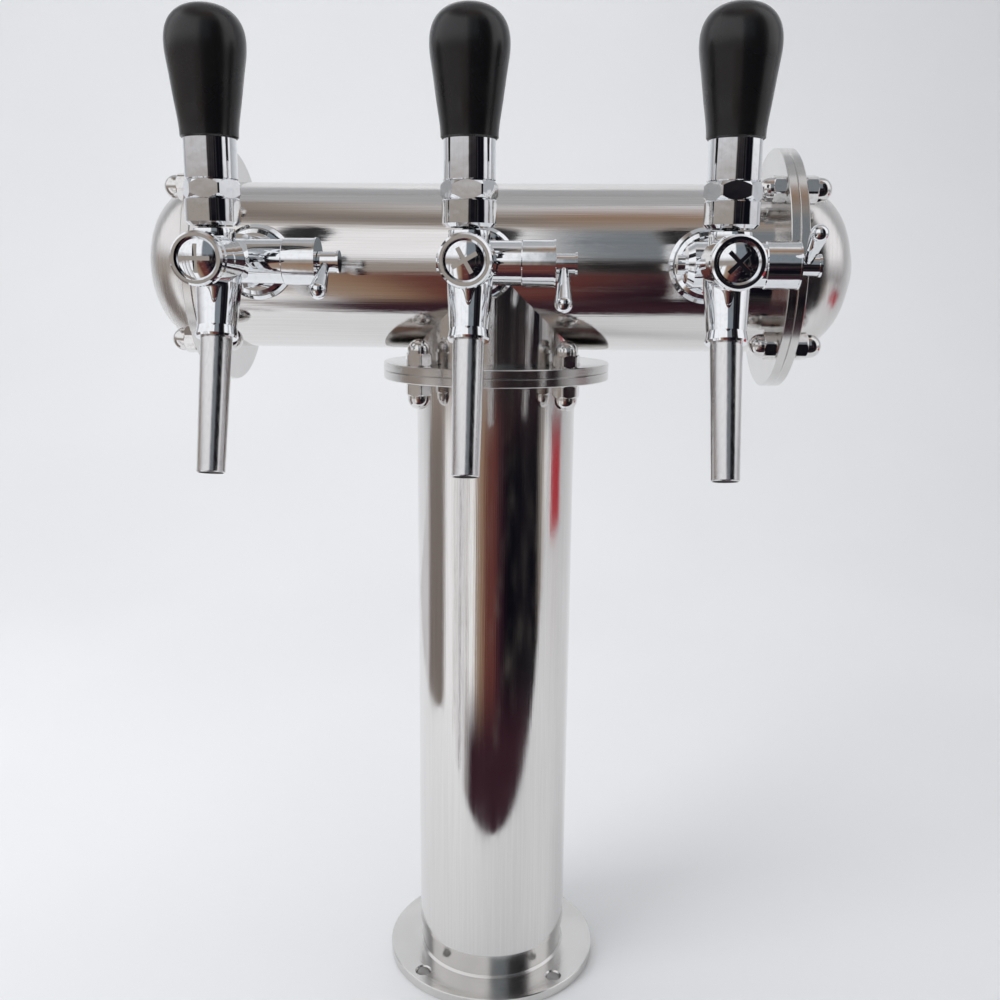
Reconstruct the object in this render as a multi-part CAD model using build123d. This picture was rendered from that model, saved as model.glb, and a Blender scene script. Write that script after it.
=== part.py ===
from build123d import *
import os
from math import cos, radians, sin

# Three-tap beer tower: a column on a bolted base, a mitred tee on top of it, taps on the tee.
# Frame: millimetres, +Z up, origin at the centre of the base flange's underside.
# +X runs along the cross tube, the taps face -Y.

# ---- tubes -------------------------------------------------------------------------
TUBE_R = 44.5
TUBE_WALL = 1.2
TUBE_INNER_R = TUBE_R - TUBE_WALL
COLUMN_BOTTOM_Z = 21.0
COLUMN_SEAM_Z = 363.0
CROSS_AXIS_Z = 419.0
CROSS_SEAM_X = 151.3

# ---- flanges, their studs and cap nuts ---------------------------------------------
FLANGE_R = 63.0
FLANGE_T = 4.6
FLANGE_EDGE = 0.4
BOLT_COUNT = 4
BOLT_CIRCLE_R = 55.0
BOLT_FIRST_ANGLE = 45.0
STUD_R = 4.0
STUD_HOLE_R = 4.3
STUD_IN_NUT = 9.0
NUT_FLATS = 13.0
NUT_HEX_H = 6.5
NUT_H = 14.0
NUT_DOME_R = 6.0
NUT_CORNER_R = 7.2
HEX_CORNER_SHARE = 1.12  # a large nut's turned-down corner radius over half its width across flats
CORNER_FALL = 1.2  # height of a nut's corner chamfer over its depth

CUT_PAST = 1.0  # how far a cutting bar runs beyond the face it opens

# ---- base --------------------------------------------------------------------------
BASE_T = 6.0
BASE_HOLE_R = 4.0
BASE_COUNTERSINK_R = 4.8
COLLAR_WALL = 3.0
COLLAR_TOP_Z = 41.0
WELD_BEAD = 1.2
COLLAR_CHAMFER = 1.0

# ---- dished end caps ---------------------------------------------------------------
CAP_SKIRT = 3.0
CAP_DEPTH = 32.0
CAP_CURVE_SPANS = 5  # spans of the curve that follows the head's quarter ellipse

# ---- taps --------------------------------------------------------------------------
TAP_PITCH = 115.0
TAP_ROW_X = -6.5
TAPS = {
    # name: column in the row, lever angle below the horizontal, angle of the plug's slot
    "left": (-1, 33.0, 0.0),
    "centre": (0, 50.0, -30.0),
    "right": (1, -34.0, -45.0),
}
TAP_Z = CROSS_AXIS_Z + 1.2
TUBE_AXIS_UP = CROSS_AXIS_Z - TAP_Z  # the cross tube's axis, seen from the tap axis

ESCUTCHEON_R = 19.0
ESCUTCHEON_FRONT_Y = -50.5
ESCUTCHEON_RIM_Y = -47.5
ESCUTCHEON_BACK_Y = -36.0
ESCUTCHEON_FACE_R = 16.5
ESCUTCHEON_FACE_CHAMFER = (2.0, 1.0)
ESCUTCHEON_GROOVE = 0.8
ESCUTCHEON_RIM_H = 2.0
SHANK_R = 10.5
SHANK_BORE_R = 4.0
SHANK_FRONT_Y = -58.0
SHANK_REAR_Y = -14.0
SHANK_HOLE_R = 10.8
WASHER_R = 16.0
WASHER_REAR_Y = -36.0
SHANK_NUT_FLATS = 30.0
SHANK_NUT_T = 6.0

STEM_R = 4.76
STEM_BORE_R = 3.2
STEM_END_Y = 20.0
STEM_COLLAR_R = 8.5
STEM_COLLAR_T = 3.0
STEM_CHAMFER = 0.8
STEM_NUT_FLATS = 26.0
STEM_NUT_FRONT_Y = -23.0
STEM_NUT_REAR_Y = -8.0

# tap body, measured from the tap axis where it says so
HEAD_R = 12.0
HEAD_FRONT_Y = -137.0
HEAD_BACK_Y = -103.0
HEAD_FRONT_CHAMFER = (0.6, 2.0)
HEAD_BACK_SHOULDER = (1.6, 6.0, 2.5)
HANDLE_Y = -114.0
CHAMBER_R = 8.5
CHAMBER_BACK_Y = -103.4
SEAT_BACK_Y = -101.0
SEAT_R = 2.9
NECK_R = 6.5
NECK_BORE_R = 4.5
NECK_FILLET = 1.5
NECK_FILLET_REACH = (1.0, 4.0)
NECK_COLLAR = 3.0
NECK_COLLAR_REACH = (2.0, 3.0)
CROSS_BARREL_Y = -76.5
CROSS_BARREL_R = 10.6
CROSS_BARREL_LEFT = -18.5
CROSS_BARREL_TIP_R = 4.6
CROSS_BARREL_TIP_H = 3.5
CROSS_BARREL_SHOULDER = (2.0, 1.0, 4.0)
CROSS_BARREL_RIGHT = 22.4
CROSS_BORE_R = 7.5
CROSS_BORE_LEFT = -12.0
CONE_GUIDE_R = 4.3
REAR_BOSS_R = 13.0
REAR_BOSS_CHAMFER = 1.0

OUTLET_TILT = 16.1
OUTLET_LENGTH = 36.5
OUTLET_TOP_R = 10.3
OUTLET_WAIST_R = 8.9
OUTLET_RIM_R = 9.6
OUTLET_FLARE_H = 5.0
OUTLET_RIM_CHAMFER = (0.5, 1.0)
OUTLET_TOP_Y = -107.2
OUTLET_BORE_R = 5.0
OUTLET_BORE_TOP = -4.0
SPOUT_R = 7.2
SPOUT_END_R = 6.4
SPOUT_BORE_R = 5.6
SPOUT_SOCKET = 8.0
SPOUT_EXPOSED = 61.5
SPOUT_STRAIGHT_TOP = 2.0
SPOUT_STRAIGHT_END = 3.0
SPOUT_LIP = 0.5

RING_R = 11.65
RING_FRONT_Y = -141.0
RING_BORE_R = 9.5
RING_CHAMFER = 0.9
PLUG_R = 9.2
PLUG_RIM_Y = -139.6
PLUG_DOME_H = 2.6
PLUG_REAR_Y = -126.0
PLUG_GUIDE_R = 2.6
SLOT_WIDTH = 1.9
SLOT_DEPTH = 1.1
SLOT_LENGTH = 15.0

# handle: a ball-jointed lever carrying the skirt, lock nut, ferrule and knob
PIVOT_Z = 431.5
BALL_R = 4.2
BALL_SEAT_R = 4.5
BOSS_R = 9.5
BOSS_TOP_Z = 433.6
SPOT_FACE_R = 14.0
SPOT_FACE_Z = 430.4
SOCKET_MOUTH_R = 5.6
SOCKET_THROAT_R = 3.6
SOCKET_TOP = -1.0
SOCKET_THROAT = -2.5
SOCKET_MOUTH = -5.0
RETAINER_R = 6.2
RETAINER_BOTTOM_Z = 430.0
RETAINER_TOP_Z = 433.2
RETAINER_CLEAR_R = 6.6
RETAINER_CHAMFER = 0.6
LEVER_NECK_R = 2.0
LEVER_ROD_R = 3.0
LEVER_ROD_BOTTOM_Z = 436.5
LEVER_ROD_TOP_Z = 500.0
ARM_R = 1.1
ARM_BALL_R = 2.2
SKIRT_BOTTOM_Z = 435.0
SKIRT_BOTTOM_R = 10.7
SKIRT_CHAMFER_H = 1.5
SKIRT_CUP_R = 9.9
SKIRT_R = 12.2
SKIRT_TOP_Z = 446.5
SKIRT_TOP_CHAMFER = 0.4
LOCK_NUT_FLATS = 22.6
LOCK_NUT_R = 12.8
LOCK_NUT_TOP_Z = 454.5
FERRULE_R = 11.6
FERRULE_TOP_Z = 472.0
FERRULE_CHAMFER = 0.5
KNOB_BOTTOM_R = 12.7
KNOB_MAX_R = 17.5
KNOB_MAX_Z = 511.0
KNOB_TOP_Z = 527.5
KNOB_EDGE = 0.8
KNOB_WAIST = (1.5, 0.35)  # growth over the bottom radius, and where, as a share of the height
KNOB_HIP = (0.9, 0.78)  # shortfall from the greatest radius, and where
KNOB_START_SLOPE = (0.02, 1)
KNOB_CROWN = (0.76, 0.73)  # share of the radius left at this share of the crown's height

# valve shaft
SHAFT_R = 2.3
SHAFT_FRONT_Y = -134.0
YOKE_X = 9.0
YOKE_Y = 7.6
YOKE_Z = 3.6
YOKE_SLOT_X = 6.0
YOKE_SLOT_Y = 5.0
SEAL_R = 4.1
SEAL_T = 3.0
SEAL_GAP = 0.2
SEAL_CHAMFER = 0.4

# flow control
FLOW_CAP_R = 11.2
FLOW_CAP_END = 37.9
FLOW_CAP_LIP = 0.8
FLOW_CAP_LIP_R = 11.6
FLOW_CAP_SPIGOT = 6.0
FLOW_CAP_CHAMFER = 0.5
FLOW_SHAFT_R = 4.8
FLOW_SHAFT_END = 48.0
FLOW_SHAFT_BUTTON = 1.1
FLOW_SHAFT_BUTTON_R = 5.4
FLOW_SHAFT_CORE_R = 3.0
FLOW_SHAFT_GAP = 0.3
CRANK_DISC_R = 4.0
CRANK_DISC_START = 4.6
CRANK_DISC_END = 8.0
CRANK_PIN_R = 1.0
CRANK_THROW = 1.5
LEVER_OFFSET = 42.6
LEVER_REACH = 24.6
LEVER_ROOT_R = 2.3
LEVER_ROOT_STRAIGHT = 1.0
LEVER_TIP_R = 4.3
LEVER_DEPTH = 2.4
CONE_R = 4.0
CONE_FRONT_Y = -86.0
CONE_REAR_Y = -62.5
CONE_NOSE = 2.5
CONE_NOSE_R = 1.8
CONE_SLOT_Y = 2.6
CONE_SLOT_Z = 5.6


def turned(profile):
    """Solid of revolution about Z from (radius, height) corner points."""
    return revolve(make_face(Polyline(*[(r, 0, z) for r, z in profile], close=True)), Axis.Z)


def rod(radius, low, high):
    """Round bar about Z from height low to height high."""
    return Pos(0, 0, low) * Cylinder(radius, high - low, align=(Align.CENTER, Align.CENTER, Align.MIN))


def pipe(outer, inner, low, high):
    return rod(outer, low, high) - rod(inner, low, high)


def hexagon(flats, low, high, corner_radius):
    """Hexagonal bar about Z with its corners turned down by a 30 degree chamfer at both ends."""
    body = extrude(RegularPolygon(flats / 2, 6, major_radius=False), high - low)
    drop = (corner_radius - flats / 2) * CORNER_FALL
    blank = turned([
        (0, 0),
        (flats / 2, 0),
        (corner_radius, drop),
        (corner_radius, high - low - drop),
        (flats / 2, high - low),
        (0, high - low),
    ])
    return Pos(0, 0, low) * (body & blank)


def along_y(shape):
    """Turn a shape built about Z so that its +Z points along +Y."""
    return Rot(-90, 0, 0) * shape


def along_x(shape):
    """Turn a shape built about Z so that its +Z points along +X."""
    return Rot(0, 90, 0) * shape


def at_bolts(shape):
    """Copies of a shape on the flange bolt circle about Z."""
    step = 360 / BOLT_COUNT
    angles = [BOLT_FIRST_ANGLE + step * i for i in range(BOLT_COUNT)]
    return [Rot(0, 0, a) * Pos(BOLT_CIRCLE_R, 0, 0) * shape for a in angles]


def write(name, *shapes):
    """One STEP file for one node, holding all the solids given."""
    solids = [solid for shape in shapes for solid in shape.solids()]
    node = solids[0] if len(solids) == 1 else Compound(children=solids)
    node.label = name
    export_step(node, f"parts/{name}.step")


# ---- flanges -------------------------------------------------------------------------
def flange_plate(bore_r, low):
    """Round plate with the bolt holes, its underside at height low."""
    e = FLANGE_EDGE
    plate = turned([
        (bore_r, low),
        (FLANGE_R - e, low),
        (FLANGE_R, low + e),
        (FLANGE_R, low + FLANGE_T - e),
        (FLANGE_R - e, low + FLANGE_T),
        (bore_r, low + FLANGE_T),
    ])
    for hole in at_bolts(rod(STUD_HOLE_R, low - CUT_PAST, low + FLANGE_T + CUT_PAST)):
        plate -= hole
    return plate


def cap_nut():
    """Domed cap nut standing on z = 0 with its blind threaded hole."""
    hexagon_part = hexagon(NUT_FLATS, 0, NUT_HEX_H, NUT_CORNER_R)
    straight = NUT_H - NUT_DOME_R
    dome = rod(NUT_DOME_R, NUT_HEX_H / 2, straight) + Pos(0, 0, straight) * Sphere(NUT_DOME_R)
    return hexagon_part + dome - rod(STUD_R, -CUT_PAST, STUD_IN_NUT)


def joint_fasteners():
    """Studs and cap nuts of one flange pair whose seam is the plane z = 0."""
    stud_end = FLANGE_T + STUD_IN_NUT
    studs = at_bolts(rod(STUD_R, -stud_end, stud_end))
    upper = Pos(0, 0, FLANGE_T) * cap_nut()
    lower = Rot(180, 0, 0) * upper
    return studs, at_bolts(upper) + at_bolts(lower)


# ---- base ----------------------------------------------------------------------------
def base_flange():
    collar_inner = TUBE_INNER_R - COLLAR_WALL
    e = FLANGE_EDGE
    plate = turned([
        (collar_inner, 0),
        (FLANGE_R - e, 0),
        (FLANGE_R, e),
        (FLANGE_R, BASE_T - e),
        (FLANGE_R - e, BASE_T),
        (collar_inner, BASE_T),
    ])
    countersink_depth = BASE_COUNTERSINK_R - BASE_HOLE_R
    hole = turned([
        (0, -CUT_PAST),
        (BASE_HOLE_R, -CUT_PAST),
        (BASE_HOLE_R, BASE_T - countersink_depth),
        (BASE_COUNTERSINK_R, BASE_T),
        (BASE_COUNTERSINK_R, BASE_T + CUT_PAST),
        (0, BASE_T + CUT_PAST),
    ])
    for cutter in at_bolts(hole):
        plate -= cutter
    return plate


def base_collar():
    """Spigot the column slips over, with the weld bead at its foot."""
    inner = TUBE_INNER_R - COLLAR_WALL
    return turned([
        (inner, BASE_T),
        (TUBE_INNER_R + WELD_BEAD, BASE_T),
        (TUBE_INNER_R, BASE_T + WELD_BEAD),
        (TUBE_INNER_R, COLLAR_TOP_Z - COLLAR_CHAMFER),
        (TUBE_INNER_R - COLLAR_CHAMFER, COLLAR_TOP_Z),
        (inner, COLLAR_TOP_Z),
    ])


# ---- tee -----------------------------------------------------------------------------
def mitre_wedge():
    """Everything below the two 45 degree mitre planes through the cross tube's axis."""
    reach = 2 * TUBE_R
    wedge = make_face(Polyline(
        (0, 0, CROSS_AXIS_Z),
        (-reach, 0, CROSS_AXIS_Z - reach),
        (reach, 0, CROSS_AXIS_Z - reach),
        close=True,
    ))
    return extrude(wedge, reach, both=True)


def drilled_for_shanks(shell):
    for row, _, _ in TAPS.values():
        hole = along_y(rod(SHANK_HOLE_R, -TUBE_R - CUT_PAST, 0))
        shell -= Pos(TAP_ROW_X + row * TAP_PITCH, 0, TAP_Z) * hole
    return shell


def cross_tube():
    shell = along_x(pipe(TUBE_R, TUBE_INNER_R, -CROSS_SEAM_X, CROSS_SEAM_X))
    return drilled_for_shanks(Pos(0, 0, CROSS_AXIS_Z) * shell - mitre_wedge())


def tee_stub():
    shell = pipe(TUBE_R, TUBE_INNER_R, COLUMN_SEAM_Z, CROSS_AXIS_Z + TUBE_R)
    return drilled_for_shanks(shell & mitre_wedge())


def quarter_ellipse(radius, depth):
    """Curve from (radius, 0) to (0, depth), square to both axes."""
    angles = [radians(90 * i / CAP_CURVE_SPANS) for i in range(CAP_CURVE_SPANS)]
    points = [(radius * cos(a), depth * sin(a)) for a in angles] + [(0, depth)]
    return Spline(*points, tangents=[(0, 1), (-1, 0)])


def end_cap():
    """Dished head built about Z, its open edge at z = 0."""
    straight = FLANGE_T + CAP_SKIRT
    inner_depth = CAP_DEPTH - TUBE_WALL
    outline = Curve() + [
        Line((TUBE_INNER_R, -straight), (TUBE_R, -straight)),
        Line((TUBE_R, -straight), (TUBE_R, 0)),
        quarter_ellipse(TUBE_R, CAP_DEPTH),
        Line((0, CAP_DEPTH), (0, inner_depth)),
        quarter_ellipse(TUBE_INNER_R, inner_depth),
        Line((TUBE_INNER_R, 0), (TUBE_INNER_R, -straight)),
    ]
    return Pos(0, 0, straight) * revolve(Plane.XZ * make_face(outline), Axis.Z)


# ---- shank group, built about the tap axis (Y) ---------------------------------------
def cross_tube_bar(radius):
    return Pos(0, 0, TUBE_AXIS_UP) * along_x(rod(radius, -2 * ESCUTCHEON_R, 2 * ESCUTCHEON_R))


def escutcheon():
    """Stepped rosette whose back is scooped to sit on the round tube."""
    chamfer_in, chamfer_back = ESCUTCHEON_FACE_CHAMFER
    blank = turned([
        (SHANK_R, ESCUTCHEON_FRONT_Y),
        (ESCUTCHEON_FACE_R - chamfer_in, ESCUTCHEON_FRONT_Y),
        (ESCUTCHEON_FACE_R, ESCUTCHEON_FRONT_Y + chamfer_back),
        (ESCUTCHEON_FACE_R, ESCUTCHEON_RIM_Y + ESCUTCHEON_GROOVE),
        (ESCUTCHEON_FACE_R + ESCUTCHEON_GROOVE, ESCUTCHEON_RIM_Y),
        (ESCUTCHEON_R, ESCUTCHEON_RIM_Y + ESCUTCHEON_RIM_H),
        (ESCUTCHEON_R, ESCUTCHEON_BACK_Y),
        (SHANK_R, ESCUTCHEON_BACK_Y),
    ])
    return along_y(blank) - cross_tube_bar(TUBE_R)


def shank():
    return along_y(pipe(SHANK_R, SHANK_BORE_R, SHANK_FRONT_Y, SHANK_REAR_Y))


def shank_washer():
    """Rubber washer moulded to the tube's inner wall, flat towards the nut."""
    blank = along_y(pipe(WASHER_R, SHANK_R, -TUBE_R, WASHER_REAR_Y))
    return blank & cross_tube_bar(TUBE_INNER_R)


def shank_nut():
    corner = SHANK_NUT_FLATS / 2 * HEX_CORNER_SHARE
    rear = WASHER_REAR_Y + SHANK_NUT_T
    body = hexagon(SHANK_NUT_FLATS, WASHER_REAR_Y, rear, corner)
    return along_y(body - rod(SHANK_R, WASHER_REAR_Y - CUT_PAST, rear + CUT_PAST))


def line_stem():
    """Plain stem for a push-fit beer line, with the collar its nut clamps to the shank."""
    collar_rear = SHANK_REAR_Y + STEM_COLLAR_T
    return along_y(turned([
        (STEM_BORE_R, SHANK_REAR_Y),
        (STEM_COLLAR_R, SHANK_REAR_Y),
        (STEM_COLLAR_R, collar_rear),
        (STEM_R, collar_rear),
        (STEM_R, STEM_END_Y - STEM_CHAMFER),
        (STEM_R - STEM_CHAMFER, STEM_END_Y),
        (STEM_BORE_R, STEM_END_Y),
    ]))


def stem_nut():
    corner = STEM_NUT_FLATS / 2 * HEX_CORNER_SHARE
    body = hexagon(STEM_NUT_FLATS, STEM_NUT_FRONT_Y, STEM_NUT_REAR_Y, corner)
    collar_rear = SHANK_REAR_Y + STEM_COLLAR_T
    body -= rod(SHANK_R, STEM_NUT_FRONT_Y - CUT_PAST, SHANK_REAR_Y)
    body -= rod(STEM_COLLAR_R, SHANK_REAR_Y, collar_rear)
    body -= rod(STEM_R, collar_rear, STEM_NUT_REAR_Y + CUT_PAST)
    return along_y(body)


# ---- tap body, built about its own axis (Y) at x = 0, z = 0 --------------------------
PIVOT_UP = PIVOT_Z - TAP_Z


def outlet_frame():
    """Places a shape built downwards along -Z onto the tilted outlet axis."""
    return Pos(0, OUTLET_TOP_Y, 0) * Rot(-OUTLET_TILT, 0, 0)


def head_and_neck():
    """Body bar along the tap axis: the head, the neck and the boss against the escutcheon."""
    front_in, front_back = HEAD_FRONT_CHAMFER
    shoulder_in, shoulder_start, shoulder_end = HEAD_BACK_SHOULDER
    fillet_start, fillet_end = NECK_FILLET_REACH
    collar_start, collar_end = NECK_COLLAR_REACH
    barrel_front = CROSS_BARREL_Y - CROSS_BARREL_R
    return along_y(turned([
        (0, HEAD_FRONT_Y),
        (HEAD_R - front_in, HEAD_FRONT_Y),
        (HEAD_R, HEAD_FRONT_Y + front_back),
        (HEAD_R, HEAD_BACK_Y - shoulder_start),
        (HEAD_R - shoulder_in, HEAD_BACK_Y - shoulder_end),
        (NECK_R + NECK_FILLET, HEAD_BACK_Y + fillet_start),
        (NECK_R, HEAD_BACK_Y + fillet_end),
        (NECK_R, barrel_front - collar_start),
        (NECK_R + NECK_COLLAR, barrel_front + collar_end),
        (NECK_R + NECK_COLLAR, CROSS_BARREL_Y),
        (REAR_BOSS_R, CROSS_BARREL_Y),
        (REAR_BOSS_R, ESCUTCHEON_FRONT_Y - REAR_BOSS_CHAMFER),
        (REAR_BOSS_R - REAR_BOSS_CHAMFER, ESCUTCHEON_FRONT_Y),
        (0, ESCUTCHEON_FRONT_Y),
    ]))


def cross_barrel():
    """Round barrel across the body that houses the flow control."""
    shoulder_in, shoulder_start, shoulder_end = CROSS_BARREL_SHOULDER
    shoulder = CROSS_BARREL_LEFT + CROSS_BARREL_TIP_H
    return Pos(0, CROSS_BARREL_Y, 0) * along_x(turned([
        (0, CROSS_BARREL_LEFT),
        (CROSS_BARREL_TIP_R, CROSS_BARREL_LEFT),
        (CROSS_BARREL_TIP_R, shoulder),
        (CROSS_BARREL_R - shoulder_in, shoulder + shoulder_start),
        (CROSS_BARREL_R, shoulder + shoulder_end),
        (CROSS_BARREL_R, CROSS_BARREL_RIGHT),
        (0, CROSS_BARREL_RIGHT),
    ]))


def outlet():
    rim_in, rim_up = OUTLET_RIM_CHAMFER
    return outlet_frame() * turned([
        (0, 0),
        (OUTLET_TOP_R, 0),
        (OUTLET_TOP_R, -HEAD_R),
        (OUTLET_WAIST_R, -OUTLET_LENGTH + OUTLET_FLARE_H),
        (OUTLET_RIM_R, -OUTLET_LENGTH + rim_up),
        (OUTLET_RIM_R - rim_in, -OUTLET_LENGTH),
        (0, -OUTLET_LENGTH),
    ])


def beer_way():
    """Every bore of the tap body, from the shank to the spout's socket."""
    bores = [
        along_y(rod(CHAMBER_R, HEAD_FRONT_Y - CUT_PAST, CHAMBER_BACK_Y)),
        along_y(rod(SEAT_R, CHAMBER_BACK_Y - CUT_PAST, SEAT_BACK_Y + CUT_PAST)),
        along_y(rod(NECK_BORE_R, SEAT_BACK_Y, CROSS_BARREL_Y)),
        along_y(rod(CONE_GUIDE_R, CROSS_BARREL_Y, SHANK_FRONT_Y + CUT_PAST)),
        along_y(rod(SHANK_R, SHANK_FRONT_Y, ESCUTCHEON_FRONT_Y + CUT_PAST)),
    ]
    cross_bore = along_x(rod(CROSS_BORE_R, CROSS_BORE_LEFT, CROSS_BARREL_RIGHT + CUT_PAST))
    bores.append(Pos(0, CROSS_BARREL_Y, 0) * cross_bore)
    below = -OUTLET_LENGTH - CUT_PAST
    bores.append(outlet_frame() * rod(OUTLET_BORE_R, below, OUTLET_BORE_TOP))
    bores.append(outlet_frame() * rod(SPOUT_R, below, -OUTLET_LENGTH + SPOUT_SOCKET))
    return bores


def ball_socket():
    """Ball seat about the pivot, open downwards for the lever's arm, upwards for the retainer."""
    mouth = turned([
        (0, SOCKET_TOP),
        (SOCKET_THROAT_R, SOCKET_THROAT),
        (SOCKET_MOUTH_R, SOCKET_MOUTH),
        (0, SOCKET_MOUTH),
    ])
    socket = Sphere(BALL_SEAT_R) + mouth
    socket += rod(RETAINER_R, RETAINER_BOTTOM_Z - PIVOT_Z, RETAINER_TOP_Z - PIVOT_Z)
    return socket + rod(RETAINER_CLEAR_R, RETAINER_TOP_Z - PIVOT_Z, BOSS_R)


def tap_body():
    body = head_and_neck() + cross_barrel() + outlet()
    # spot face under the swinging skirt, then the ball's boss with a dome about the pivot
    body -= Pos(0, HANDLE_Y, 0) * rod(SPOT_FACE_R, SPOT_FACE_Z - TAP_Z, HEAD_R + CUT_PAST)
    boss = rod(BOSS_R, -PIVOT_UP, 0) + (Sphere(BOSS_R) & rod(BOSS_R, 0, BOSS_TOP_Z - PIVOT_Z))
    body += Pos(0, HANDLE_Y, PIVOT_UP) * boss
    for bore in beer_way():
        body -= bore
    return body - Pos(0, HANDLE_Y, PIVOT_UP) * ball_socket()


def ball_retainer():
    blank = turned([
        (0, RETAINER_BOTTOM_Z - PIVOT_Z),
        (RETAINER_R, RETAINER_BOTTOM_Z - PIVOT_Z),
        (RETAINER_R, RETAINER_TOP_Z - PIVOT_Z - RETAINER_CHAMFER),
        (RETAINER_R - RETAINER_CHAMFER, RETAINER_TOP_Z - PIVOT_Z),
        (0, RETAINER_TOP_Z - PIVOT_Z),
    ])
    return Pos(0, HANDLE_Y, PIVOT_UP) * (blank - Sphere(BALL_SEAT_R))


def front_ring():
    return along_y(turned([
        (RING_BORE_R, RING_FRONT_Y),
        (RING_R - RING_CHAMFER, RING_FRONT_Y),
        (RING_R, RING_FRONT_Y + RING_CHAMFER),
        (RING_R, HEAD_FRONT_Y),
        (RING_BORE_R, HEAD_FRONT_Y),
    ]))


def front_plug(slot_angle):
    """Screw plug with a domed, cross-slotted face and a rear guide for the valve shaft."""
    sphere_r = (PLUG_R**2 + PLUG_DOME_H**2) / (2 * PLUG_DOME_H)
    tip = PLUG_RIM_Y - PLUG_DOME_H
    face = rod(PLUG_R, tip, HEAD_FRONT_Y) & Pos(0, 0, tip + sphere_r) * Sphere(sphere_r)
    plug = face + rod(CHAMBER_R, HEAD_FRONT_Y - CUT_PAST, PLUG_REAR_Y)
    plug -= rod(PLUG_GUIDE_R, SHAFT_FRONT_Y - CUT_PAST, PLUG_REAR_Y + CUT_PAST)
    slot_height = 2 * (SLOT_DEPTH + CUT_PAST)
    slot = Pos(0, 0, tip - CUT_PAST) * Box(SLOT_LENGTH, SLOT_WIDTH, slot_height)
    for angle in (0, 90):
        plug -= Rot(0, 0, slot_angle + angle) * slot
    return along_y(plug)


def spout():
    """Slightly tapered outlet tube with a rounded lip."""
    top = -OUTLET_LENGTH + SPOUT_SOCKET
    bottom = -OUTLET_LENGTH - SPOUT_EXPOSED
    tube = turned([
        (SPOUT_BORE_R, top),
        (SPOUT_R, top),
        (SPOUT_R, -OUTLET_LENGTH - SPOUT_STRAIGHT_TOP),
        (SPOUT_END_R, bottom + SPOUT_STRAIGHT_END),
        (SPOUT_END_R, bottom + SPOUT_LIP),
        (SPOUT_END_R - SPOUT_LIP, bottom),
        (SPOUT_BORE_R, bottom),
    ])
    return outlet_frame() * tube


# ---- handle --------------------------------------------------------------------------
def lever_stem():
    """Ball lever: threaded rod above, ball in the middle, arm and tip inside the body."""
    up = LEVER_ROD_BOTTOM_Z - PIVOT_Z
    stem = Sphere(BALL_R)
    stem += rod(LEVER_NECK_R, 0, up)
    stem += rod(LEVER_ROD_R, up, LEVER_ROD_TOP_Z - PIVOT_Z)
    stem += rod(ARM_R, -PIVOT_UP, 0)
    stem += Pos(0, 0, -PIVOT_UP) * Sphere(ARM_BALL_R)
    return Pos(0, HANDLE_Y, PIVOT_UP) * stem


def skirt():
    """Cup whose round inside swings over the boss's dome."""
    blank = turned([
        (0, SKIRT_BOTTOM_Z),
        (SKIRT_BOTTOM_R, SKIRT_BOTTOM_Z),
        (SKIRT_R, SKIRT_BOTTOM_Z + SKIRT_CHAMFER_H),
        (SKIRT_R, SKIRT_TOP_Z - SKIRT_TOP_CHAMFER),
        (SKIRT_R - SKIRT_TOP_CHAMFER, SKIRT_TOP_Z),
        (0, SKIRT_TOP_Z),
    ])
    blank -= Pos(0, 0, PIVOT_Z) * Sphere(SKIRT_CUP_R)
    return blank - rod(LEVER_ROD_R, SKIRT_BOTTOM_Z - CUT_PAST, SKIRT_TOP_Z + CUT_PAST)


def lock_nut():
    body = hexagon(LOCK_NUT_FLATS, SKIRT_TOP_Z, LOCK_NUT_TOP_Z, LOCK_NUT_R)
    return body - rod(LEVER_ROD_R, SKIRT_TOP_Z - CUT_PAST, LOCK_NUT_TOP_Z + CUT_PAST)


def ferrule():
    return turned([
        (LEVER_ROD_R, LOCK_NUT_TOP_Z),
        (FERRULE_R - FERRULE_CHAMFER, LOCK_NUT_TOP_Z),
        (FERRULE_R, LOCK_NUT_TOP_Z + FERRULE_CHAMFER),
        (FERRULE_R, FERRULE_TOP_Z),
        (LEVER_ROD_R, FERRULE_TOP_Z),
    ])


def knob():
    """Pear-shaped handle knob, blind-bored for the lever's rod."""
    height = KNOB_MAX_Z - FERRULE_TOP_Z
    waist_growth, waist_share = KNOB_WAIST
    hip_shortfall, hip_share = KNOB_HIP
    crown_width_share, crown_height_share = KNOB_CROWN
    side = Spline(
        (KNOB_BOTTOM_R, FERRULE_TOP_Z + KNOB_EDGE),
        (KNOB_BOTTOM_R + waist_growth, FERRULE_TOP_Z + waist_share * height),
        (KNOB_MAX_R - hip_shortfall, FERRULE_TOP_Z + hip_share * height),
        (KNOB_MAX_R, KNOB_MAX_Z),
        tangents=[KNOB_START_SLOPE, (0, 1)],
    )
    crown = Spline(
        (KNOB_MAX_R, KNOB_MAX_Z),
        (KNOB_MAX_R * crown_width_share, KNOB_MAX_Z + (KNOB_TOP_Z - KNOB_MAX_Z) * crown_height_share),
        (0, KNOB_TOP_Z),
        tangents=[(0, 1), (-1, 0)],
    )
    outline = Curve() + [
        Line((0, FERRULE_TOP_Z), (KNOB_BOTTOM_R - KNOB_EDGE, FERRULE_TOP_Z)),
        Line((KNOB_BOTTOM_R - KNOB_EDGE, FERRULE_TOP_Z), (KNOB_BOTTOM_R, FERRULE_TOP_Z + KNOB_EDGE)),
        side,
        crown,
        Line((0, KNOB_TOP_Z), (0, FERRULE_TOP_Z)),
    ]
    solid = revolve(Plane.XZ * make_face(outline), Axis.Z)
    return solid - rod(LEVER_ROD_R, FERRULE_TOP_Z - CUT_PAST, LEVER_ROD_TOP_Z)


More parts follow.
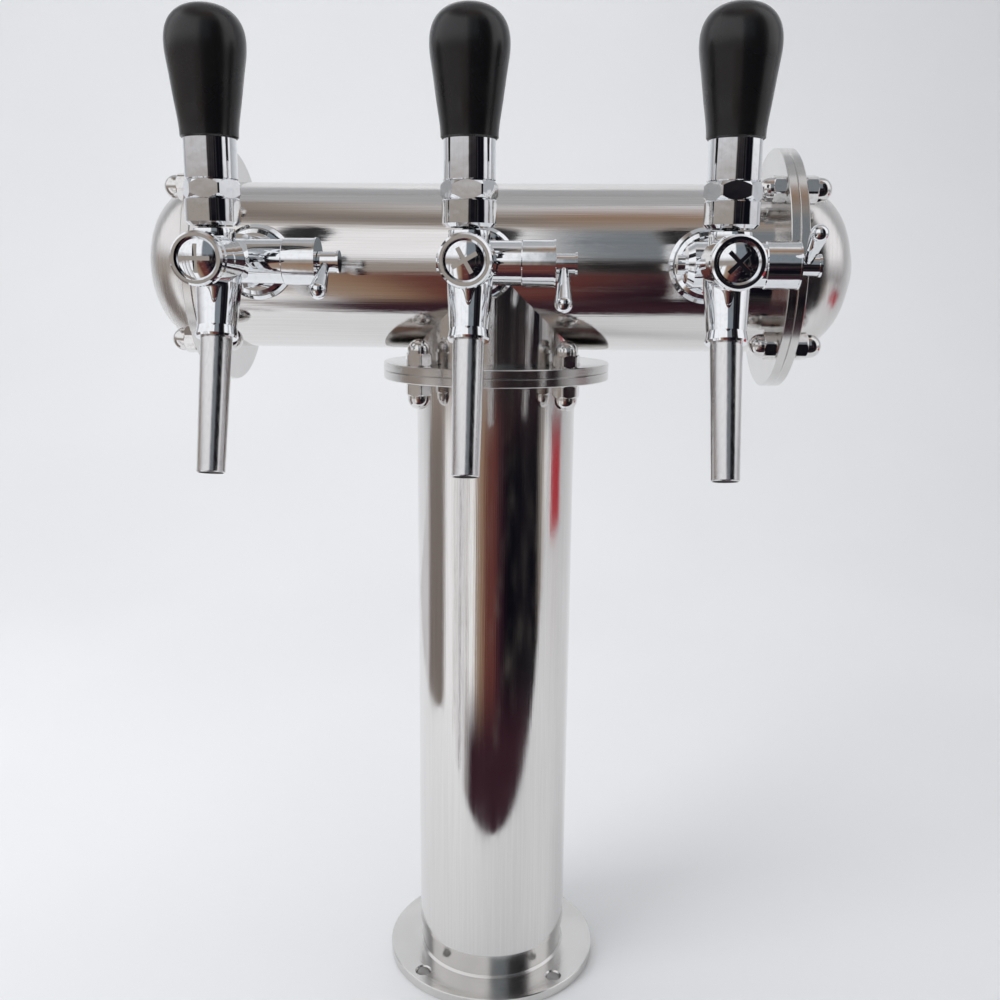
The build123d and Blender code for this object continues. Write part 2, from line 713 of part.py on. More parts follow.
# ---- valve and flow control ----------------------------------------------------------
def valve_shaft():
    """Shaft with the yoke the lever's tip works in; the seal sits behind the seat."""
    seal_back = SEAT_BACK_Y + SEAL_GAP + SEAL_T
    shaft = along_y(rod(SHAFT_R, SHAFT_FRONT_Y, seal_back))
    shaft += Pos(0, HANDLE_Y, 0) * Box(YOKE_X, YOKE_Y, YOKE_Z)
    return shaft - Pos(0, HANDLE_Y, 0) * Box(YOKE_SLOT_X, YOKE_SLOT_Y, 2 * YOKE_Z)


def valve_seal():
    front = SEAT_BACK_Y + SEAL_GAP
    return along_y(turned([
        (SHAFT_R, front),
        (SEAL_R - SEAL_CHAMFER, front),
        (SEAL_R, front + SEAL_CHAMFER),
        (SEAL_R, front + SEAL_T),
        (SHAFT_R, front + SEAL_T),
    ]))


def flow_cap():
    """Screwed cover of the cross barrel with the shaft's bearing."""
    bore = FLOW_SHAFT_CORE_R + FLOW_SHAFT_GAP
    inner_end = CROSS_BARREL_RIGHT - FLOW_CAP_SPIGOT
    cap = turned([
        (bore, inner_end),
        (CROSS_BORE_R, inner_end),
        (CROSS_BORE_R, CROSS_BARREL_RIGHT),
        (FLOW_CAP_R - FLOW_CAP_CHAMFER, CROSS_BARREL_RIGHT),
        (FLOW_CAP_R, CROSS_BARREL_RIGHT + FLOW_CAP_CHAMFER),
        (FLOW_CAP_R, FLOW_CAP_END),
        (FLOW_CAP_LIP_R, FLOW_CAP_END),
        (FLOW_CAP_LIP_R, FLOW_CAP_END + FLOW_CAP_LIP),
        (bore, FLOW_CAP_END + FLOW_CAP_LIP),
    ])
    return Pos(0, CROSS_BARREL_Y, 0) * along_x(cap)


def flow_frame(angle):
    """Turns a shape about the flow shaft by the lever's angle below the horizontal."""
    return Pos(0, CROSS_BARREL_Y, 0) * Rot(angle, 0, 0)


def flow_shaft(angle):
    """Shaft with its crank pin; at angle 0 the pin stands straight up, the lever points to -Y."""
    start = FLOW_CAP_END + FLOW_CAP_LIP + FLOW_SHAFT_GAP
    shaft = rod(CRANK_DISC_R, CRANK_DISC_START, CRANK_DISC_END)
    shaft += rod(FLOW_SHAFT_CORE_R, CRANK_DISC_END, start)
    shaft += rod(FLOW_SHAFT_R, start, FLOW_SHAFT_END)
    shaft += rod(FLOW_SHAFT_BUTTON_R, FLOW_SHAFT_END, FLOW_SHAFT_END + FLOW_SHAFT_BUTTON)
    shaft = along_x(shaft)
    shaft += Pos(0, 0, CRANK_THROW) * along_x(rod(CRANK_PIN_R, 0, CRANK_DISC_START))
    shaft -= Pos(LEVER_OFFSET, 0, 0) * lever_socket()
    return flow_frame(angle) * shaft


def lever_socket():
    return Rot(90, 0, 0) * rod(LEVER_ROOT_R, LEVER_DEPTH, 2 * FLOW_SHAFT_R)


def flow_lever(angle):
    lever = turned([
        (0, LEVER_DEPTH),
        (LEVER_ROOT_R, LEVER_DEPTH),
        (LEVER_ROOT_R, FLOW_SHAFT_R + LEVER_ROOT_STRAIGHT),
        (LEVER_TIP_R, LEVER_REACH),
        (0, LEVER_REACH),
    ]) + Pos(0, 0, LEVER_REACH) * Sphere(LEVER_TIP_R)
    return flow_frame(angle) * Pos(LEVER_OFFSET, 0, 0) * Rot(90, 0, 0) * lever


def flow_cone(angle):
    """Compensator cone, moved along the barrel by the crank pin in its cross slot."""
    slide = -CRANK_THROW * sin(radians(angle))
    nose = CONE_FRONT_Y - CONE_NOSE
    cone = along_y(turned([
        (0, nose),
        (CONE_NOSE_R, nose),
        (CONE_R, CONE_FRONT_Y),
        (CONE_R, CONE_REAR_Y),
        (0, CONE_REAR_Y),
    ]))
    slot = Box(2 * CONE_R, CONE_SLOT_Y, CONE_SLOT_Z, align=(Align.MIN, Align.CENTER, Align.CENTER))
    cone -= Pos(-FLOW_SHAFT_GAP, CROSS_BARREL_Y, 0) * slot
    return Pos(0, slide, 0) * cone


# ---- write the tower -----------------------------------------------------------------
write("base_flange", base_flange())
write("base_collar", base_collar())
write("column_tube", pipe(TUBE_R, TUBE_INNER_R, COLUMN_BOTTOM_Z, COLUMN_SEAM_Z))
write("column_flange", flange_plate(TUBE_R, COLUMN_SEAM_Z - FLANGE_T))
write("stub_flange", flange_plate(TUBE_R, COLUMN_SEAM_Z))
write("tee_stub", tee_stub())
write("cross_tube", cross_tube())

studs, nuts = [], []
seams = [Pos(0, 0, COLUMN_SEAM_Z)]
for side, turn in (("left", -90), ("right", 90)):
    seam = Pos(CROSS_SEAM_X * (1 if turn > 0 else -1), 0, CROSS_AXIS_Z) * Rot(0, turn, 0)
    seams.append(seam)
    write(f"cross_flange_{side}", seam * flange_plate(TUBE_R, -FLANGE_T))
    write(f"end_flange_{side}", seam * flange_plate(TUBE_R, 0))
    write(f"end_cap_{side}", seam * end_cap())
for seam in seams:
    joint_studs, joint_nuts = joint_fasteners()
    studs += [seam * stud for stud in joint_studs]
    nuts += [seam * nut for nut in joint_nuts]
write("flange_studs", *studs)
write("flange_cap_nuts", *nuts)

# ---- write the taps ------------------------------------------------------------------
shared = {
    "shanks": shank,
    "shank_washers": shank_washer,
    "shank_nuts": shank_nut,
    "line_stems": line_stem,
    "stem_nuts": stem_nut,
    "ball_retainers": ball_retainer,
    "front_rings": front_ring,
    "spouts": spout,
    "flow_caps": flow_cap,
}
places = {name: Pos(TAP_ROW_X + row * TAP_PITCH, 0, TAP_Z) for name, (row, _, _) in TAPS.items()}
for node, build in shared.items():
    write(node, *[place * build() for place in places.values()])
stub_bar = rod(TUBE_R, COLUMN_SEAM_Z, CROSS_AXIS_Z)
write("escutcheons", *[place * escutcheon() - stub_bar for place in places.values()])
write("front_plugs", *[places[name] * front_plug(slot) for name, (_, _, slot) in TAPS.items()])

for name, (row, lever_angle, _) in TAPS.items():
    place = places[name]
    handle_place = Pos(TAP_ROW_X + row * TAP_PITCH, HANDLE_Y, 0)
    write(f"tap_body_{name}", place * tap_body())
    write(f"lever_stem_{name}", place * lever_stem())
    write(f"skirt_{name}", handle_place * skirt())
    write(f"lock_nut_{name}", handle_place * lock_nut())
    write(f"ferrule_{name}", handle_place * ferrule())
    write(f"knob_{name}", handle_place * knob())
    write(f"valve_shaft_{name}", place * valve_shaft())
    write(f"valve_seal_{name}", place * valve_seal())
    write(f"flow_shaft_{name}", place * flow_shaft(lever_angle))
    write(f"flow_lever_{name}", place * flow_lever(lever_angle))
    write(f"flow_cone_{name}", place * flow_cone(lever_angle))
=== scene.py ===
import math

import bpy
from mathutils import Matrix, Vector


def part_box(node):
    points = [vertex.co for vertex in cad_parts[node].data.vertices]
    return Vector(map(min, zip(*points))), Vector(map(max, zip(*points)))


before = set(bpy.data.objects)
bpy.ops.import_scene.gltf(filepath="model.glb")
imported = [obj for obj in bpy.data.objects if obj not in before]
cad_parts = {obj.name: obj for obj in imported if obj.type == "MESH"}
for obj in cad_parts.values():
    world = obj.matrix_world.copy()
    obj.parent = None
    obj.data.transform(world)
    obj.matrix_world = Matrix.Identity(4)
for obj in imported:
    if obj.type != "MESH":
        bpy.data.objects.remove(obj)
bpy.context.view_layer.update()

# ---------------------------------------------------------------- camera and studio sizes, metres
CAMERA_AT = Vector((0.0305, -0.5887, 0.4124))
CAMERA_YAW = math.radians(-2.69)
CAMERA_DOWN = math.radians(11.97)
CAMERA_ROLL = math.radians(0.52)
LENS_MM = 37.41
SENSOR_MM = 36.0
CLIP_START = 0.01

FLOOR_FRONT = 6.0
FLOOR_HALF_WIDTH = 6.0
WALL_Y = 1.5
WALL_CURVE_R = 0.9
WALL_TOP_Z = 4.0
CURVE_STEPS = 24
FLOOR_DARKER, FLOOR_LIGHTER = (0.795, 0.80, 0.815), (0.825, 0.83, 0.845)

TABLE_EDGE_Y = -0.215
TABLE_LEFT_X = -0.43
ROOM_R = 3.2
ROOM_EYE_Z = 0.3
DOME_STEPS = 48
DOME_LOW = -6.0  # degrees below its centre
DOME_SIDE = 110.0  # degrees to either side of straight ahead
GROUND_LIFT = 0.002
CARD_X = 1.0
CARD_Y = (-0.04, 0.42)
CARD_Z = (0.035, 0.22)

cross_low, cross_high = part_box("cross_tube")
CROSS_AXIS_Z = (cross_low.z + cross_high.z) / 2

DEGREES = 180 / math.pi

# sockets of the Mix node that carry colours
MIX_COLOR_A, MIX_COLOR_B, MIX_COLOR_OUT = 6, 7, 2


# ---------------------------------------------------------------- node helpers
class Nodes:
    """A short way to write a node tree. Most methods add a node and give back its output."""

    def __init__(self, tree):
        self.tree = tree
        self.tree.nodes.clear()

    def add(self, kind, **settings):
        """The new node itself, with the settings given."""
        node = self.tree.nodes.new(kind)
        for name, value in settings.items():
            setattr(node, name, value)
        return node

    def plug(self, socket, value):
        if isinstance(value, bpy.types.NodeSocket):
            self.tree.links.new(value, socket)
        elif isinstance(value, (tuple, list)) and len(value) == 3 and socket.type == "RGBA":
            socket.default_value = (*value, 1.0)
        else:
            socket.default_value = value

    def math(self, operation, a, b=0.0, clamp=False):
        node = self.add("ShaderNodeMath", operation=operation, use_clamp=clamp)
        self.plug(node.inputs[0], a)
        self.plug(node.inputs[1], b)
        return node.outputs[0]

    def position(self):
        return self.add("ShaderNodeTexCoord").outputs["Object"]

    def split(self, vector):
        node = self.add("ShaderNodeSeparateXYZ")
        self.plug(node.inputs[0], vector)
        return node.outputs

    def radius(self, a, b):
        """Distance from an axis, from the two coordinates across it."""
        return self.math("SQRT", self.math("ADD", self.math("MULTIPLY", a, a),
                                           self.math("MULTIPLY", b, b)))

    def stretched(self, vector, scale, offset=(0.0, 0.0, 0.0)):
        node = self.add("ShaderNodeMapping")
        self.plug(node.inputs["Vector"], vector)
        node.inputs["Scale"].default_value = scale
        node.inputs["Location"].default_value = offset
        return node.outputs[0]

    def noise(self, vector, scale, detail=3.0, roughness=0.5):
        node = self.add("ShaderNodeTexNoise")
        self.plug(node.inputs["Vector"], vector)
        node.inputs["Scale"].default_value = scale
        node.inputs["Detail"].default_value = detail
        node.inputs["Roughness"].default_value = roughness
        return node.outputs["Fac"]

    def rings(self, radius, scale, detail):
        """Noise that depends on the distance from an axis alone."""
        node = self.add("ShaderNodeTexNoise", noise_dimensions="1D")
        self.plug(node.inputs["W"], radius)
        node.inputs["Scale"].default_value = scale
        node.inputs["Detail"].default_value = detail
        return node.outputs["Fac"]

    def fade(self, value, low, high, to_low=0.0, to_high=1.0):
        """to_low where value is under low, to_high where it is over high, and smooth between."""
        node = self.add("ShaderNodeMapRange", interpolation_type="SMOOTHSTEP")
        self.plug(node.inputs["Value"], value)
        for socket, number in zip(("From Min", "From Max", "To Min", "To Max"),
                                  (low, high, to_low, to_high)):
            node.inputs[socket].default_value = number
        return node.outputs["Result"]

    def ramp(self, value, low, high, stops):
        """A colour ramp over low..high; stops are (place, colour) in the value's own units."""
        node = self.add("ShaderNodeValToRGB")
        self.plug(node.inputs[0], self.fade_linear(value, low, high))
        elements = node.color_ramp.elements
        while len(elements) > 1:
            elements.remove(elements[-1])
        for number, (place, colour) in enumerate(stops):
            share = (place - low) / (high - low)
            stop = elements[0] if number == 0 else elements.new(share)
            stop.position = share
            stop.color = (*colour, 1.0)
        return node.outputs["Color"]

    def fade_linear(self, value, low, high):
        node = self.add("ShaderNodeMapRange")
        self.plug(node.inputs["Value"], value)
        node.inputs["From Min"].default_value = low
        node.inputs["From Max"].default_value = high
        return node.outputs["Result"]

    def mix(self, factor, a, b):
        node = self.add("ShaderNodeMix", data_type="RGBA")
        self.plug(node.inputs[0], factor)
        self.plug(node.inputs[MIX_COLOR_A], a)
        self.plug(node.inputs[MIX_COLOR_B], b)
        return node.outputs[MIX_COLOR_OUT]

    def bump(self, height, strength, distance, normal=None):
        node = self.add("ShaderNodeBump")
        node.inputs["Strength"].default_value = strength
        node.inputs["Distance"].default_value = distance
        self.plug(node.inputs["Height"], height)
        if normal is not None:
            self.plug(node.inputs["Normal"], normal)
        return node.outputs[0]

    def surface(self, color, roughness, normal=None, **constants):
        """The shader and the material's output; constants are set on the shader's own sockets."""
        node = self.add("ShaderNodeBsdfPrincipled")
        self.plug(node.inputs["Base Color"], color)
        self.plug(node.inputs["Roughness"], roughness)
        if normal is not None:
            self.plug(node.inputs["Normal"], normal)
        for name, value in constants.items():
            self.plug(node.inputs[name.replace("_", " ")], value)
        out = self.add("ShaderNodeOutputMaterial")
        self.tree.links.new(node.outputs[0], out.inputs["Surface"])


def material(name):
    made = bpy.data.materials.new(name)
    made.use_nodes = True
    return made, Nodes(made.node_tree)


def darker(tint, share):
    return tuple(share * c for c in tint)


# ---------------------------------------------------------------- metals
# scales that stretch a noise into grain along one axis
ALONG_X, ALONG_Z = (1.0, 90.0, 90.0), (90.0, 90.0, 1.0)
BRUSHED_Z = (900.0, 900.0, 14.0)


def polished_tube(name, grain, tint=(0.80, 0.785, 0.77)):
    """Mirror-polished stainless tube with faint polishing lines along its length."""
    made, n = material(name)
    place = n.position()
    lines = n.noise(n.stretched(place, grain), scale=14.0, detail=4.0, roughness=0.6)
    wide = n.noise(n.stretched(place, grain, offset=(3.1, 1.7, 0.4)), scale=2.5, detail=2.0)
    cloud = n.noise(place, scale=18.0)
    shade = n.mix(n.fade(lines, 0.35, 0.7), darker(tint, 0.93), tint)
    rough = n.math("ADD", n.fade(wide, 0.3, 0.7, to_low=0.045, to_high=0.11),
                   n.fade(cloud, 0.4, 0.7, to_high=0.03))
    n.surface(shade, rough, n.bump(lines, strength=0.10, distance=0.0004), Metallic=1.0)
    return made


def turned_steel(name, axis, tint=(0.74, 0.73, 0.715)):
    """Machined flange plate: fine concentric tool marks about the plate's own axis."""
    made, n = material(name)
    place = n.position()
    x, y, z = n.split(place)
    across = {"x": (y, n.math("SUBTRACT", z, CROSS_AXIS_Z)), "z": (x, y)}[axis]
    rings = n.rings(n.radius(*across), scale=1400.0, detail=3.0)
    cloud = n.noise(place, scale=30.0, detail=4.0)
    shade = n.mix(n.fade(cloud, 0.3, 0.7), darker(tint, 0.9), tint)
    rough = n.math("ADD", n.fade(rings, 0.3, 0.7, to_low=0.13, to_high=0.2),
                   n.fade(cloud, 0.35, 0.75, to_high=0.06))
    n.surface(shade, rough, n.bump(rings, strength=0.12, distance=0.0003), Metallic=1.0)
    return made


def spun_steel(name, tint=(0.80, 0.785, 0.77)):
    """Spun dished head, polished less finely than the tubes: a satin sheen with round marks."""
    made, n = material(name)
    place = n.position()
    _, y, z = n.split(place)
    rings = n.rings(n.radius(y, n.math("SUBTRACT", z, CROSS_AXIS_Z)), scale=900.0, detail=2.0)
    cloud = n.noise(place, scale=26.0)
    shade = n.mix(n.fade(cloud, 0.3, 0.7), darker(tint, 0.93), tint)
    rough = n.math("ADD", n.fade(rings, 0.3, 0.7, to_low=0.19, to_high=0.25),
                   n.fade(cloud, 0.35, 0.75, to_high=0.05))
    n.surface(shade, rough, n.bump(rings, strength=0.08, distance=0.0003), Metallic=1.0)
    return made


def bright_steel(name, tint=(0.78, 0.77, 0.76)):
    """Polished cap nuts and studs: bright, with small handling marks."""
    made, n = material(name)
    place = n.position()
    marks = n.noise(place, scale=260.0, detail=5.0, roughness=0.7)
    cloud = n.noise(place, scale=60.0, detail=2.0)
    shade = n.mix(n.fade(marks, 0.45, 0.75), tint, darker(tint, 0.85))
    rough = n.fade(marks, 0.35, 0.75, to_low=0.07, to_high=0.18)
    n.surface(shade, rough, n.bump(cloud, strength=0.15, distance=0.0006), Metallic=1.0)
    return made


def cast_chrome(name, tint=(0.86, 0.88, 0.90)):
    """Chrome over a cast and hand-polished brass body: mirror bright, slightly wavy."""
    made, n = material(name)
    place = n.position()
    waves = n.noise(place, scale=95.0, detail=2.0)
    haze = n.noise(place, scale=320.0, detail=4.0, roughness=0.6)
    shade = n.mix(n.fade(haze, 0.45, 0.8), tint, darker(tint, 0.9))
    rough = n.fade(haze, 0.4, 0.8, to_low=0.025, to_high=0.07)
    n.surface(shade, rough, n.bump(waves, strength=0.10, distance=0.0008), Metallic=1.0)
    return made


def brushed_spout(name, tint=(0.76, 0.755, 0.76)):
    """Drawn stainless spout with brushing along its length."""
    made, n = material(name)
    place = n.position()
    brush = n.noise(n.stretched(place, BRUSHED_Z), scale=1.0, detail=4.0, roughness=0.6)
    shade = n.mix(n.fade(brush, 0.3, 0.7), darker(tint, 0.9), tint)
    rough = n.fade(brush, 0.3, 0.75, to_low=0.16, to_high=0.27)
    n.surface(shade, rough, n.bump(brush, strength=0.10, distance=0.0002), Metallic=1.0)
    return made


# ---------------------------------------------------------------- plastics
KNOB_BLACK, KNOB_DUST = (0.0055, 0.0055, 0.0065), (0.045, 0.045, 0.05)
MATT_SPREAD = 0.12


def gloss_black(name):
    """Injection-moulded knob: glossy black with a faint orange-peel and a little dust."""
    made, n = material(name)
    place = n.position()
    peel = n.noise(place, scale=240.0, detail=2.0)
    dust = n.noise(place, scale=1900.0, detail=2.0, roughness=0.7)
    film = n.noise(place, scale=45.0)
    shade = n.mix(n.fade(dust, 0.68, 0.8), KNOB_BLACK, KNOB_DUST)
    rough = n.fade(film, 0.35, 0.7, to_low=0.24, to_high=0.34)
    n.surface(shade, rough, n.bump(peel, strength=0.06, distance=0.0006), IOR=1.48,
              Coat_Weight=0.2, Coat_Roughness=0.16)
    return made


def matt_plastic(name, dark, light, roughness):
    made, n = material(name)
    place = n.position()
    grain = n.noise(place, scale=420.0, detail=4.0, roughness=0.65)
    shade = n.mix(n.fade(grain, 0.3, 0.7), dark, light)
    rough = n.fade(grain, 0.3, 0.7, to_low=roughness, to_high=roughness + MATT_SPREAD)
    n.surface(shade, rough, n.bump(grain, strength=0.2, distance=0.0003), IOR=1.5)
    return made


FINISHES = {
    "tube_steel": polished_tube("tube_steel_upright", ALONG_Z),
    "flange_steel": turned_steel("flange_steel_level", "z"),
    "fastener_steel": bright_steel("fastener_steel_bright"),
    "tap_chrome": cast_chrome("tap_chrome_cast"),
    "spout_steel": brushed_spout("spout_steel_brushed"),
    "knob_black": gloss_black("knob_black_gloss"),
    "rubber_black": matt_plastic("rubber_black_matt", dark=(0.012, 0.012, 0.012),
                                 light=(0.03, 0.03, 0.03), roughness=0.6),
    "valve_plastic": matt_plastic("valve_plastic_white", dark=(0.62, 0.61, 0.58),
                                  light=(0.75, 0.74, 0.7), roughness=0.35),
}
upright_flange = turned_steel("flange_steel_upright", "x")
dished_steel = spun_steel("tube_steel_dished")
SPECIAL = {
    "cross_tube": polished_tube("tube_steel_level", ALONG_X),
    "end_cap_left": dished_steel,
    "end_cap_right": dished_steel,
    "cross_flange_left": upright_flange,
    "cross_flange_right": upright_flange,
    "end_flange_left": upright_flange,
    "end_flange_right": upright_flange,
}
for name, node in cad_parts.items():
    for spot in node.material_slots:
        spot.material = SPECIAL.get(name) or FINISHES[spot.material.name.split(".")[0]]


# ---------------------------------------------------------------- studio: floor, a glowing room and cards that paint reflections, lights
def add_mesh(name, points, faces, smooth=True):
    mesh = bpy.data.meshes.new(name)
    mesh.from_pydata(points, [], faces)
    mesh.polygons.foreach_set("use_smooth", [smooth] * len(mesh.polygons))
    made = bpy.data.objects.new(name, mesh)
    bpy.context.scene.collection.objects.link(made)
    return made


def swept_floor():
    """A pale floor that curves up into a wall well behind the object."""
    profile = [(-FLOOR_FRONT, 0.0)]
    for step in range(CURVE_STEPS + 1):
        turn = math.pi / 2 * step / CURVE_STEPS
        profile.append((WALL_Y - WALL_CURVE_R + WALL_CURVE_R * math.sin(turn),
                        WALL_CURVE_R - WALL_CURVE_R * math.cos(turn)))
    profile.append((WALL_Y, WALL_TOP_Z))
    points = [(side * FLOOR_HALF_WIDTH, y, z) for y, z in profile for side in (-1, 1)]
    faces = [(2 * k, 2 * k + 1, 2 * k + 3, 2 * k + 2) for k in range(len(profile) - 1)]
    return add_mesh("studio_floor", points, faces)


def room_dome():
    """The front half of an invented room around the table, a glowing dome seen only in
    reflections: it paints the reflections on the polished and glossy parts.
    """
    points, faces = [], []
    for row in range(DOME_STEPS + 1):
        lift = math.radians(DOME_LOW + (90 - DOME_LOW) * row / DOME_STEPS)
        for column in range(DOME_STEPS + 1):
            turn = math.radians(DOME_SIDE * (2 * column / DOME_STEPS - 1))
            points.append((ROOM_R * math.cos(lift) * math.sin(turn),
                           -ROOM_R * math.cos(lift) * math.cos(turn),
                           ROOM_EYE_Z + ROOM_R * math.sin(lift)))
    for row in range(DOME_STEPS):
        for column in range(DOME_STEPS):
            corner = row * (DOME_STEPS + 1) + column
            faces.append((corner, corner + 1, corner + DOME_STEPS + 2, corner + DOME_STEPS + 1))
    return add_mesh("reflected_room", points, faces)


def beyond_table():
    """What lies beyond the table's front and left edges, a glowing sheet seen only in reflections:
    it paints the reflections of the ground there.
    """
    front, left, far = TABLE_EDGE_Y, TABLE_LEFT_X, ROOM_R
    outline = [(left, front), (far, front), (far, -far), (-far, -far), (-far, far / 4),
               (left, far / 4)]
    points = [(x, y, GROUND_LIFT) for x, y in outline]
    return add_mesh("reflected_ground", points, [(0, 1, 2, 3), (0, 3, 4, 5)], smooth=False)


def right_card():
    """A low glowing card to the right of the tower, seen only in reflections: it paints red and
    white glints on the polished and glossy parts.
    """
    points = [(CARD_X, y, z) for z in CARD_Z for y in CARD_Y]
    return add_mesh("reflected_card", points, [(0, 1, 3, 2)], smooth=False)


# colours of an invented room, set so that the polished tubes show bands like real ones
# They glow on surfaces seen only in reflections: every colour below is a painted reflection, light
# or dark.
WHITE, PALE = (0.98, 0.98, 1.0), (0.66, 0.65, 0.67)
GREY_BROWN, TAN = (0.21, 0.18, 0.165), (0.36, 0.28, 0.225)
RUST, WINE = (0.13, 0.042, 0.036), (0.040, 0.016, 0.024)
BLACK, RED = (0.004, 0.004, 0.007), (0.42, 0.03, 0.045)
STONE, SLATE = (0.34, 0.30, 0.27), (0.20, 0.225, 0.25)
OCHRE, DARK = (0.30, 0.19, 0.125), (0.028, 0.024, 0.026)

# degrees: bearing 0 is straight in front of the taps and grows to the right
BEARING_END = 120.0
HEIGHT_LOW, HEIGHT_HIGH = -10.0, 90.0
HORIZON = (-9.0, -3.0)
TABLE_SHADE_HEIGHT, TABLE_SHADE_BEARING = (-40.0, -27.0), (-43.0, -29.0)
MIDDLE, DARK_BAND_LEFT, DARK_BAND_RIGHT = (-3.0, 3.0), (27.0, 33.0), (64.0, 72.0)


def painted_reflection_room():
    """Painted reflection colours of the glowing room, by where a point of it stands: its bearing
    from the front, its height.
    """
    made, n = material("painted_reflection_light")
    x, y, z = n.split(n.position())
    depth = n.math("MULTIPLY", y, -1.0)
    bearing = n.math("MULTIPLY", n.math("ARCTAN2", x, depth), DEGREES)
    rise = n.math("SUBTRACT", z, ROOM_EYE_Z)
    height = n.math("MULTIPLY", n.math("ARCTAN2", rise, n.radius(x, y)), DEGREES)
    low = n.ramp(bearing, -BEARING_END, BEARING_END, [
        (-112, PALE), (-107, GREY_BROWN), (-77, GREY_BROWN), (-72, WHITE), (-58, WHITE),
        (-56.5, GREY_BROWN), (-55, WHITE), (-48, PALE), (-46.5, DARK), (-45, WHITE),
        (-38, PALE), (-36.5, STONE), (-35, WHITE), (-27, WHITE), (-23, TAN), (-15, OCHRE),
        (-9, RUST), (2, RUST), (9, WINE), (20, BLACK), (66, BLACK), (74, STONE), (82, WHITE),
        (88, WHITE), (91, RED), (108, RED), (113, PALE)])
    # painted shade: wine-dark low down past the table's front-left edge, seen in reflections
    near_table = n.math("MULTIPLY", n.fade(height, *TABLE_SHADE_HEIGHT, to_low=1.0, to_high=0.0),
                        n.fade(bearing, *TABLE_SHADE_BEARING))
    low = n.mix(near_table, low, WINE)
    left = n.ramp(height, HEIGHT_LOW, HEIGHT_HIGH, [
        (-10, OCHRE), (-5, STONE), (6, STONE), (11, PALE), (17, WHITE), (50, WHITE), (58, STONE),
        (66, GREY_BROWN), (74, STONE), (88, PALE)])
    right = n.ramp(height, HEIGHT_LOW, HEIGHT_HIGH, [
        (-10, RUST), (-5, DARK), (5, BLACK), (10, DARK), (16, SLATE), (48, SLATE), (55, STONE),
        (72, OCHRE), (88, PALE)])
    far_right = n.ramp(height, HEIGHT_LOW, HEIGHT_HIGH, [
        (-10, DARK), (6, PALE), (12, WHITE), (60, WHITE), (80, PALE), (88, PALE)])
    dark_reflection_band = n.ramp(height, HEIGHT_LOW, HEIGHT_HIGH, [
        (-10, WINE), (0, BLACK), (46, BLACK), (52, SLATE), (66, OCHRE), (88, PALE)])
    # a black band of painted reflection between the two bearings of the dark band
    front = n.mix(n.fade(bearing, *MIDDLE), left, right)
    front = n.mix(n.fade(bearing, *DARK_BAND_LEFT), front, dark_reflection_band)
    front = n.mix(n.fade(bearing, *DARK_BAND_RIGHT), front, far_right)
    color = n.mix(n.fade(height, *HORIZON), low, front)
    # streaks of stone colour through the painted reflections
    tall = n.stretched(n.position(), (1.0, 1.0, 0.12))
    grain = n.noise(tall, scale=5.0, detail=4.0, roughness=0.6)
    color = n.mix(n.fade(grain, 0.5, 0.75, to_high=0.25), color, STONE)
    glow = n.add("ShaderNodeEmission")
    n.plug(glow.inputs["Color"], color)
    glow.inputs["Strength"].default_value = 1.0
    out = n.add("ShaderNodeOutputMaterial")
    n.tree.links.new(glow.outputs[0], out.inputs["Surface"])
    return made


def floor_material():
    made, n = material("floor_pale")
    cloud = n.noise(n.position(), scale=1.6, detail=2.0)
    shade = n.mix(n.fade(cloud, 0.3, 0.7), FLOOR_DARKER, FLOOR_LIGHTER)
    n.surface(shade, n.fade(cloud, 0.3, 0.7, to_low=0.55, to_high=0.62), IOR=1.4)
    return made


floor = swept_floor()
floor.data.materials.append(floor_material())

painted_reflection_light = painted_reflection_room()
# glowing surfaces seen only in reflections: they paint the reflections on the metal and the glossy
# knobs
for card in (room_dome(), beyond_table(), right_card()):
    card.data.materials.append(painted_reflection_light)
    card.visible_camera = False
    card.visible_diffuse = False
    card.visible_shadow = False
    card.visible_transmission = False
    card.visible_volume_scatter = False


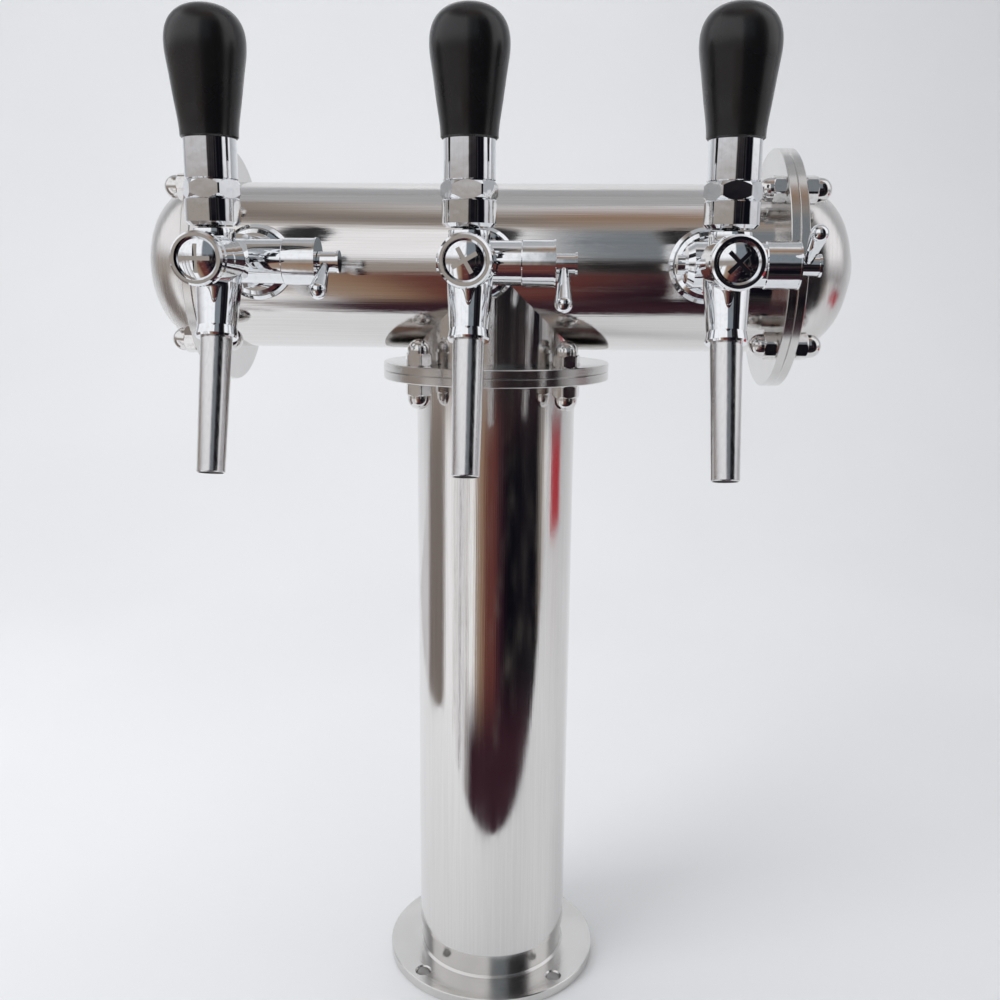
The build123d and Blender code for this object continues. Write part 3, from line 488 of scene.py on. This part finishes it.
LIGHTS_AIM = Vector((0.0, 0.0, 0.25))
WORLD_COLOR = (0.81, 0.815, 0.83, 1.0)
WORLD_STRENGTH = 0.55


def softbox(name, at, side, watts, tint):
    """A square soft light aimed at the tower, which lights matt surfaces but shows in none."""
    lamp = bpy.data.lights.new(name, "AREA")
    lamp.shape = "RECTANGLE"
    lamp.size, lamp.size_y = side, side
    lamp.energy = watts
    lamp.color = tint
    made = bpy.data.objects.new(name, lamp)
    made.location = at
    made.rotation_mode = "QUATERNION"
    made.rotation_quaternion = (LIGHTS_AIM - Vector(at)).to_track_quat("-Z", "Y")
    made.visible_glossy = False
    made.visible_camera = False
    bpy.context.scene.collection.objects.link(made)


softbox("window_left", at=(-1.5, -1.0, 1.3), side=1.2, watts=20.0, tint=(0.95, 0.98, 1.0))
softbox("ceiling", at=(-0.2, 0.2, 2.2), side=2.2, watts=22.0, tint=(1.0, 0.995, 0.99))

world = bpy.data.worlds.new("pale_studio")
world.use_nodes = True
backdrop = world.node_tree.nodes["Background"]
backdrop.inputs["Color"].default_value = WORLD_COLOR
backdrop.inputs["Strength"].default_value = WORLD_STRENGTH
bpy.context.scene.world = world
bpy.context.scene.view_settings.view_transform = "Standard"


# ---------------------------------------------------------------- camera
forward = Vector((math.sin(CAMERA_YAW) * math.cos(CAMERA_DOWN),
                  math.cos(CAMERA_YAW) * math.cos(CAMERA_DOWN),
                  -math.sin(CAMERA_DOWN)))
level = Vector((math.cos(CAMERA_YAW), -math.sin(CAMERA_YAW), 0.0))
upward = level.cross(forward)
right = level * math.cos(CAMERA_ROLL) + upward * math.sin(CAMERA_ROLL)
up = upward * math.cos(CAMERA_ROLL) - level * math.sin(CAMERA_ROLL)
lens = bpy.data.cameras.new("camera")
lens.lens = LENS_MM
lens.sensor_width = SENSOR_MM
lens.clip_start = CLIP_START
camera = bpy.data.objects.new("camera", lens)
camera.matrix_world = (Matrix.Translation(CAMERA_AT)
                       @ Matrix((right, up, -forward)).transposed().to_4x4())
bpy.context.scene.collection.objects.link(camera)
bpy.context.scene.camera = camera
